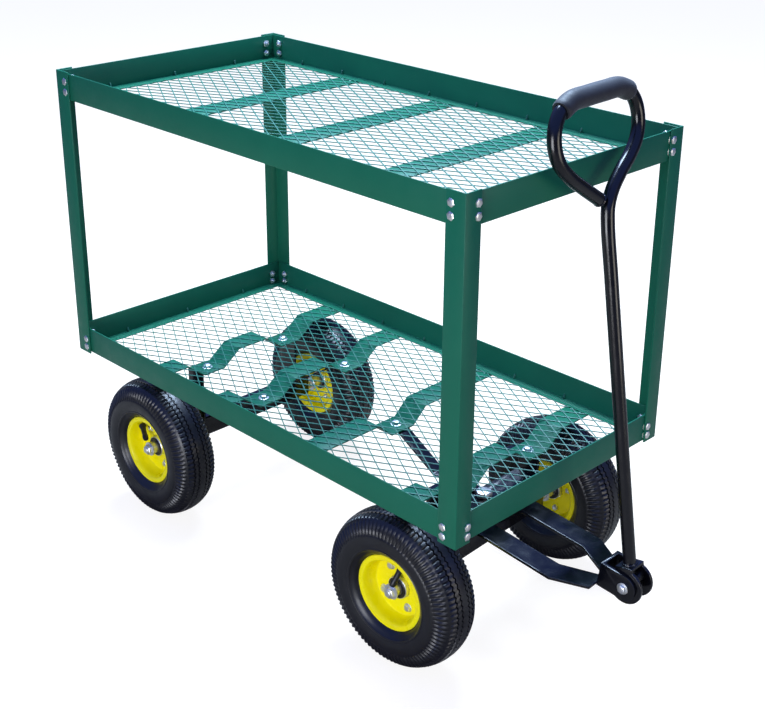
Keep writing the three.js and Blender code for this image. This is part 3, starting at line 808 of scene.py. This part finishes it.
# %% [markdown]
# ## Wheels
# A wheel has its own small frame: its middle, the way out along the axle, and the direction that counts
# as angle nought, which lies level. The tyre is turned from a section whose points move as it goes
# round: the tread's grooves zigzag, the shoulder is notched, and the sidewall carries fine upright ribs.
# Building that in the mesh, and not as a bump, gives the toothed outline that a real tyre shows.

# %% Tyre section
WHEEL_NAMES = ("rear_right", "rear_left", "front_right", "front_left")
RIB_COUNT, STEPS_PER_RIB = 92, 4
ZIGZAG = (0.0, 1.5, 0.0, -1.5)
NOTCH = (1.0, 0.0, 0.0, 0.0)
RIDGE = (0.0, 1.0, 1.0, 0.0)
TYRE_RADIUS, CROWN_DROP = 127.3, 0.0085
GROOVE_DEEP, NOTCH_DEEP, RIDGE_HIGH = 3.8, 2.6, 1.7


def crown(distance):
    """The tread's height at a distance from the tyre's middle plane."""
    return TYRE_RADIUS - CROWN_DROP * distance**2


# Each point is (radius, distance out, zigzag share, notch share, ridge share).
SIDEWALL = [
    (62.6, 26.2, 0, 0, 0),
    (64.6, 31.0, 0, 0, 0),
    (68.5, 34.2, 0, 0, 0),
    (72.5, 36.6, 0, 0, 0),
    (73.2, 37.9, 0, 0, 0),
    (75.6, 38.8, 0, 0, 0),
    (76.6, 38.3, 0, 0, 0),
    (82.0, 40.0, 0, 0, 0),
    (88.0, 40.8, 0, 0, 0),
    (93.0, 40.7, 0, 0, 0),
    (96.5, 40.2, 0, 0, 0),
    (97.6, 39.0, 0, 0, 0.3),
    (99.5, 38.4, 0, 0, 1),
    (108.0, 35.6, 0, 0, 1),
    (115.4, 31.6, 0, 0, 1),
    (117.2, 30.3, 0, 0, 0.3),
    (118.4, 29.6, 0, 0, 0),
    (120.6, 27.6, 0, 0, 0),
]
TREAD = [(crown(25), 25, 0, 1, 0), (crown(22), 22, 0, 1, 0), (crown(17.6), 17.6, 1, 0.25, 0)]
for groove_outer, groove_inner in ((17.6, 14.8), (8.9, 6.3)):
    TREAD.append((crown(groove_outer) - GROOVE_DEEP, groove_outer - 0.5, 1, 0, 0))
    TREAD.append((crown(groove_inner) - GROOVE_DEEP, groove_inner + 0.5, 1, 0, 0))
    TREAD.append((crown(groove_inner), groove_inner, 1, 0, 0))
    if groove_inner > 10:
        TREAD.append((crown(8.9), 8.9, 1, 0, 0))
TREAD.append((crown(3.0), 3.0, 0.6, 0, 0))
HALF_SECTION = SIDEWALL + TREAD
INSIDE = [(55.0, 19.0), (72.0, 29.5), (90.0, 35.0), (110.0, 26.0), (118.0, 12.0)]

print(RIB_COUNT, "ribs round the tyre,", len(HALF_SECTION), "points from rim to crown")


# %% Turn a tyre
def tyre(shape, middle, out, across):
    up = out.cross(across)
    outside = list(HALF_SECTION)
    outside += [(r, -d, z, n, g) for r, d, z, n, g in reversed(HALF_SECTION)]
    inside = [(r, -d, 0, 0, 0) for r, d in INSIDE] + [(r, d, 0, 0, 0) for r, d in reversed(INSIDE)]
    section = outside + inside
    count = RIB_COUNT * STEPS_PER_RIB
    rings = []
    for i in range(count):
        angle = 2 * math.pi * i / count
        spoke = across * math.cos(angle) + up * math.sin(angle)
        phase = i % STEPS_PER_RIB
        ring = []
        for radius, distance, zigzag, notch, ridge in section:
            side = 1 if distance > 0 else -1
            r = radius - notch * NOTCH[phase] * NOTCH_DEEP + ridge * RIDGE[phase] * RIDGE_HIGH * 0.5
            d = distance + zigzag * ZIGZAG[phase] + side * ridge * RIDGE[phase] * RIDGE_HIGH
            ring.append(shape.verts.new(middle + spoke * (r * MM) + out * (d * MM)))
        rings.append(ring)
    for first, second in zip(rings, rings[1:] + rings[:1]):
        bridge(shape, first, second)

print("tyre ready to turn in", RIB_COUNT * STEPS_PER_RIB, "steps")

# %% [markdown]
# ## Rims, hubs and valves
# Each rim is two steel pressings bolted back to back: a flat disc, a deep wall and a rolled lip that
# holds the tyre's bead. A hub with a sealed bearing sits in the middle, and a sleeve spaces it out to
# the washer and nut on the axle's end. The rubber valve leans out of the wall towards the nut.

# %% Rim and hub sections
RIM_FACE = [(18.9, 2.2), (20.4, 3.2), (43.0, 3.2), (46.6, 4.6), (48.8, 8.4), (49.9, 15.0)]
RIM_FACE += [(50.7, 21.5), (52.0, 25.8), (54.2, 28.2), (57.6, 29.1), (60.6, 28.9), (62.1, 27.7)]
RIM_BACK = [(61.4, 26.3), (57.6, 27.0), (55.0, 26.3), (53.4, 24.4), (52.4, 20.9), (51.6, 14.4)]
RIM_BACK += [(50.0, 7.2), (47.4, 2.6), (43.6, 0.7), (18.9, 0.7)]
HUB_SECTION = [(8.3, -29), (10.4, -29), (10.4, -9.4), (17.6, -9.4), (18.4, -8.6), (18.4, 8.6)]
HUB_SECTION += [(17.6, 9.4), (10.4, 9.4), (10.4, 21), (8.3, 21)]
SEAL_SECTION = [(10.8, 9.0), (10.8, 10.1), (12.0, 10.6), (16.0, 10.6), (16.9, 10.0), (16.9, 9.0)]
# A valve's root and tip: across and up from the wheel's middle, and out along the axle.
VALVES = {
    "rear_right": ((-31, 33, 14), (-3, 20, 27)),
    "rear_left": ((47, 17, 13), (20, 7, 27)),
    "front_right": ((13, 44, 14), (5, 15, 27)),
    "front_left": ((-44, -16, 13), (-19, -7, 27)),
}
RIM_BOLT_CIRCLE, RIM_BOLT_COUNT = 35.0, 4
BOLT_ANGLES = {"rear_right": 124, "rear_left": 60, "front_right": 120, "front_left": 75}


def mirrored(section):
    return [(radius, -distance) for radius, distance in section]


def wheel_frame(name):
    """A wheel's middle, the way out along its axle, and its level direction."""
    low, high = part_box(f"tyre_{name}")
    spin = Vector(joints[f"{name}_wheel_spin"]["axis"]).normalized()
    out = spin if name.endswith("left") else -spin
    return (low + high) / 2, out, UP.cross(out)


print("wheel width over the hub:", HUB_SECTION[-1][1] - HUB_SECTION[0][1], "mm")


# %% Tyre, rims and hub of one wheel
def fit_tyre_and_rims(name, body, middle, out, across):
    tyre_shape = bmesh.new()
    tyre(tyre_shape, middle, out, across)
    add_piece(f"ribbed_tyre_{name}", tyre_shape, "tyre_rubber", body, [f"tyre_{name}"], sharp_degrees=40)
    for half, change in (("outer", list), ("inner", mirrored)):
        pressing = bmesh.new()
        section = change(RIM_FACE + RIM_BACK)
        turned(pressing, section, middle, out, sides=96, across=across, closed=True)
        add_piece(f"pressed_rim_{half}_{name}", pressing, "yellow_enamel", body, [f"rim_{half}_{name}"])


def fit_hub(name, body, middle, out, across):
    hub = bmesh.new()
    turned(hub, HUB_SECTION, middle, out, sides=48, across=across, closed=True)
    add_piece(f"bearing_hub_{name}", hub, "zinc_plated_steel", body, [f"hub_{name}"])
    seals = bmesh.new()
    turned(seals, SEAL_SECTION, middle, out, sides=40, across=across, closed=True)
    turned(seals, mirrored(SEAL_SECTION), middle, out, sides=40, across=across, closed=True)
    add_piece(f"bearing_seals_{name}", seals, "tube_rubber", body)


print("tyre, rims and hub ready to fit")

# %% Rim bolts and valve of one wheel
RIM_SKIN = 3.2  # from the wheel's middle plane to either face of the bolted discs
RIM_BOLT_HALF, RIM_HEAD_HIGH, RIM_NUT_HIGH, RIM_THREAD = 5.6, 4.0, 4.8, 3.0
VALVE_RADII = [6.6, 6.6, 5.4, 5.0, 4.8, 4.7, 4.6, 4.5, 4.5, 5.2, 5.2, 5.1, 4.4]


def fit_rim_bolts(name, body, middle, out, across):
    upright = out.cross(across)
    rim_bolts = bmesh.new()
    for k in range(RIM_BOLT_COUNT):
        angle = math.radians(BOLT_ANGLES[name] + k * 360 / RIM_BOLT_COUNT)
        spoke = across * math.cos(angle) + upright * math.sin(angle)
        centre = middle + spoke * RIM_BOLT_CIRCLE * MM
        head, nut = centre + out * RIM_SKIN * MM, centre - out * RIM_SKIN * MM
        bolt_head(rim_bolts, head, out, RIM_BOLT_HALF, RIM_HEAD_HIGH)
        nut_and_end(rim_bolts, nut, -out, RIM_BOLT_HALF, RIM_NUT_HIGH, RIM_THREAD)
    add_piece(f"rim_bolts_{name}", rim_bolts, "zinc_plated_steel", body)


def fit_valve(name, body, middle, out, across):
    upright = out.cross(across)
    ends = [(across * x + upright * z + out * y) * MM for x, z, y in VALVES[name]]
    root, tip = middle + ends[0], middle + ends[1]
    last = len(VALVE_RADII) - 1
    line = [root.lerp(tip, i / last) for i in range(last + 1)]
    valve = bmesh.new()
    swept(valve, line, VALVE_RADII, sides=16, first_normal=out, round_ends=True)
    add_piece(f"valve_{name}", valve, "tube_rubber", body)


print(RIM_BOLT_COUNT, "bolts and one valve to a wheel")

# %% Build the four wheels
for name in WHEEL_NAMES:
    body = f"wheel_{name}"
    middle, out, across = wheel_frame(name)
    fit_tyre_and_rims(name, body, middle, out, across)
    fit_hub(name, body, middle, out, across)
    fit_rim_bolts(name, body, middle, out, across)
    fit_valve(name, body, middle, out, across)
print("wheels:", ", ".join(WHEEL_NAMES))

# %% [markdown]
# ## Axle ends
# The axles are bright bar. A collar stops each wheel on the inside, and a washer and a domed lock nut
# hold it on the outside.

# %% Axles
COLLAR_FROM, WASHER_FROM, AXLE_END = 164.7, 218.3, 229.2
for name, body in (("rear_axle", "chassis"), ("front_axle", "steering")):
    side = "rear" if name == "rear_axle" else "front"
    left = wheel_frame(f"{side}_left")[0]
    right = wheel_frame(f"{side}_right")[0]
    middle = (left + right) / 2
    axis = (left - right).normalized()
    bar = bmesh.new()
    half = [(7.9, WASHER_FROM - 0.5), (6.0, WASHER_FROM), (6.0, AXLE_END - 1.2)]
    half += [(4.8, AXLE_END - 0.2), (0, AXLE_END)]
    turned(bar, [(r, -d) for r, d in reversed(half)] + half, middle, axis, sides=32)
    for out in (axis, -axis):
        collar = [(7.6, COLLAR_FROM), (12.4, COLLAR_FROM), (13.0, COLLAR_FROM + 0.6)]
        collar += [(13.0, COLLAR_FROM + 2.4), (12.4, COLLAR_FROM + 3.0), (7.6, COLLAR_FROM + 3.0)]
        turned(bar, collar, middle, out, sides=32, closed=True)
        washer = [(5.8, WASHER_FROM), (12.6, WASHER_FROM), (13.0, WASHER_FROM + 0.5)]
        washer += [(12.6, WASHER_FROM + 1.6), (5.8, WASHER_FROM + 1.6)]
        turned(bar, washer, middle, out, sides=32, closed=True)
        nut = [(5.8, WASHER_FROM + 1.4), (8.8, WASHER_FROM + 1.4), (9.4, WASHER_FROM + 2.0)]
        nut += [(9.4, WASHER_FROM + 7.0), (8.4, WASHER_FROM + 8.0), (6.9, WASHER_FROM + 8.4)]
        nut += [(6.9, WASHER_FROM + 9.8), (5.8, WASHER_FROM + 10.0)]
        turned(bar, nut, middle, out, sides=6, closed=True)
    add_piece(f"{name}_turned", bar, "zinc_plated_steel", body, [name])
print("two axles turned")

# %% [markdown]
# ## The pull handle
# The handle is one length of tube: straight up from the yoke, round a loop, and back to the shaft,
# where its end is welded. Its points below are in the handle's own plane, across and up from the clevis
# pin. A smooth curve goes through them, and a round section is carried along that.

# %% Handle frame and line
tilt = joints["handle_tilt"]
PIN = Vector(tilt["pos_m"])
HANDLE_ACROSS = Vector(tilt["axis"]).normalized()
HANDLE_LEAN = math.radians(9)
lean = Matrix.Rotation(-HANDLE_LEAN, 3, HANDLE_ACROSS)
HANDLE_UP = lean @ UP
HANDLE_FRONT = HANDLE_ACROSS.cross(HANDLE_UP)
HANDLE_LINE = [(0, 31.3), (0, 180), (0, 330), (0, 470), (0, 545), (4, 570), (16, 590), (38, 610)]
HANDLE_LINE += [(64, 629), (83, 650), (90, 673), (86, 697), (71, 716), (46, 725), (12, 726)]
HANDLE_LINE += [(-30, 726), (-64, 725), (-89, 716), (-104, 697), (-108, 673), (-101, 650)]
HANDLE_LINE += [(-82, 629), (-56, 610), (-34, 595), (-19, 585)]
GRIP_FROM, GRIP_TO = 12, 17


def handle_point(across_mm, up_mm, front_mm=0.0):
    return PIN + (HANDLE_ACROSS * across_mm + HANDLE_UP * up_mm + HANDLE_FRONT * front_mm) * MM

print(f"the handle leans back {math.degrees(HANDLE_LEAN):.0f} degrees")


# %% Smooth curve
def smooth_line(pairs, steps):
    """Points along a curve through the pairs, its speed set by the square root of their spacing."""
    ends = [[2 * a - b for a, b in zip(pairs[0], pairs[1])]]
    tail = [[2 * a - b for a, b in zip(pairs[-1], pairs[-2])]]
    knots = [Vector(p) for p in ends + [list(p) for p in pairs] + tail]
    made = []
    for p0, p1, p2, p3 in zip(knots, knots[1:], knots[2:], knots[3:]):
        t1 = (p1 - p0).length ** 0.5
        t2 = t1 + (p2 - p1).length ** 0.5
        t3 = t2 + (p3 - p2).length ** 0.5
        for i in range(steps):
            t = t1 + (t2 - t1) * i / steps
            a1 = p0.lerp(p1, t / t1)
            a2 = p1.lerp(p2, (t - t1) / (t2 - t1))
            a3 = p2.lerp(p3, (t - t2) / (t3 - t2))
            b1 = a1.lerp(a2, t / t2)
            b2 = a2.lerp(a3, (t - t1) / (t3 - t1))
            made.append(b1.lerp(b2, (t - t1) / (t2 - t1)))
    made.append(knots[-2].copy())
    return made

print("smoothing ready for", len(HANDLE_LINE), "points along the handle")

# %% Bend the tube and fit the grip
TUBE_RADIUS, GRIP_RADIUS = 9.9, 14.4
GRIP_END_CUTS = (1.4, 0.5, 0.1)  # how much less at the first points from either end
tube_line = [handle_point(*p) for p in smooth_line(HANDLE_LINE, 8)]
tube = bmesh.new()
swept(tube, tube_line, [TUBE_RADIUS] * len(tube_line), sides=28, first_normal=HANDLE_FRONT)
add_piece("handle_bent_tube", tube, "black_enamel", "handle", ["handle_tube"])

grip_line = [handle_point(*p) for p in smooth_line(HANDLE_LINE[GRIP_FROM : GRIP_TO + 1], 12)]
last = len(grip_line) - 1
grip_radii = []
for i in range(last + 1):
    from_end = min(i, last - i)
    cut = GRIP_END_CUTS[from_end] if from_end < len(GRIP_END_CUTS) else 0.0
    grip_radii.append(GRIP_RADIUS - cut)
grip = bmesh.new()
swept(grip, grip_line, grip_radii, sides=32, first_normal=HANDLE_FRONT)
add_piece("foam_sleeve", grip, "foam", "handle", ["foam_grip"])
print(f"tube {sum((b - a).length for a, b in zip(tube_line, tube_line[1:])):.2f} m long")

# %% [markdown]
# ## Welds on the handle and drawbar
# The tube is welded to the yoke's web, its far end is welded to the shaft, and the flat arms are welded
# to the clevis. A bead round a tube is swept in a ring.


# %% Ring beads
def ring_bead(shape, centre, axis, ring_mm, bead_mm, ripples=16):
    across = axis.orthogonal().normalized()
    over = axis.cross(across)
    sections = []
    for i in range(ripples * 3):
        angle = 2 * math.pi * i / (ripples * 3)
        spoke = across * math.cos(angle) + over * math.sin(angle)
        size = bead_mm * (1 + 0.12 * math.sin(angle * ripples))
        ring = []
        for k in range(8):
            turn = 2 * math.pi * k / 8
            offset = spoke * (ring_mm + size * math.cos(turn)) + axis * (size * math.sin(turn))
            ring.append(shape.verts.new(centre + offset * MM))
        sections.append(ring)
    for first, second in zip(sections, sections[1:] + sections[:1]):
        bridge(shape, first, second)


print("a ring bead has a ripple to each puddle of the torch")

# %% Handle welds
YOKE_TOP = 31.6
LOOP_END = (-16, 583)
welds = bmesh.new()
ring_bead(welds, handle_point(0, YOKE_TOP), HANDLE_UP, TUBE_RADIUS + 0.3, 1.6)
end_axis = (handle_point(*HANDLE_LINE[-1]) - handle_point(*HANDLE_LINE[-2])).normalized()
ring_bead(welds, handle_point(*LOOP_END), end_axis, TUBE_RADIUS - 1.4, 2.0)
add_piece("handle_welds", welds, "black_enamel", "handle")
print("handle welded at the yoke and the loop's end")

# %% Drawbar welds
SLOPE = math.radians(7.5)
ARM_EDGES, ARM_BACK, ARM_DOWN, ARM_BEAD = (3.0, 21.0), 43.6, 14.6, 15.0
arm_welds = bmesh.new()
ahead = HANDLE_ACROSS.cross(UP)
bar_ahead = ahead * math.cos(SLOPE) - UP * math.sin(SLOPE)
bar_up = UP * math.cos(SLOPE) + ahead * math.sin(SLOPE)
for side in (-1, 1):
    for across_mm in ARM_EDGES:
        offset = HANDLE_ACROSS * side * across_mm - bar_ahead * ARM_BACK - bar_up * ARM_DOWN
        start = PIN + offset * MM
        bead(arm_welds, start, start + HANDLE_ACROSS * side * ARM_BEAD * MM, 1.6)
add_piece("drawbar_welds", arm_welds, "black_enamel", "steering")
print(2 * len(ARM_EDGES), "welds on the drawbar")

# %% Clevis bolt
EAR_OUTER = 22.8
SHANK = [(0, -24), (5.9, -24), (5.9, 24), (0, 24)]
pin_bolt = bmesh.new()
turned(pin_bolt, SHANK, PIN, HANDLE_ACROSS, sides=28)
bolt_head(pin_bolt, PIN - HANDLE_ACROSS * EAR_OUTER * MM, -HANDLE_ACROSS, 6.9, 4.4)
nut_and_end(pin_bolt, PIN + HANDLE_ACROSS * EAR_OUTER * MM, HANDLE_ACROSS, 7.6, 3.2, 5.0)
add_piece("clevis_bolt", pin_bolt, "zinc_plated_steel", "steering", ["clevis_pin"])
print("clevis bolt through ears", 2 * EAR_OUTER, "mm apart outside")

# %% Bracket welds
BEAM_TOP, BEAM_HALF_WIDE = 152.0, 11
CHEEK_FACES = (112.6, 107.4)
gear_welds = bmesh.new()
beam_low, beam_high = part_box("rear_axle_bracket")
beam_x = (beam_low.x + beam_high.x) / 2
for side in (-1, 1):
    for y in CHEEK_FACES:
        foot = Vector((beam_x - BEAM_HALF_WIDE * MM, side * y * MM, BEAM_TOP * MM))
        bead(gear_welds, foot, foot + ALONG * 2 * BEAM_HALF_WIDE * MM, 1.8)
add_piece("rear_bracket_welds", gear_welds, "black_enamel", "chassis")
print("welds done")
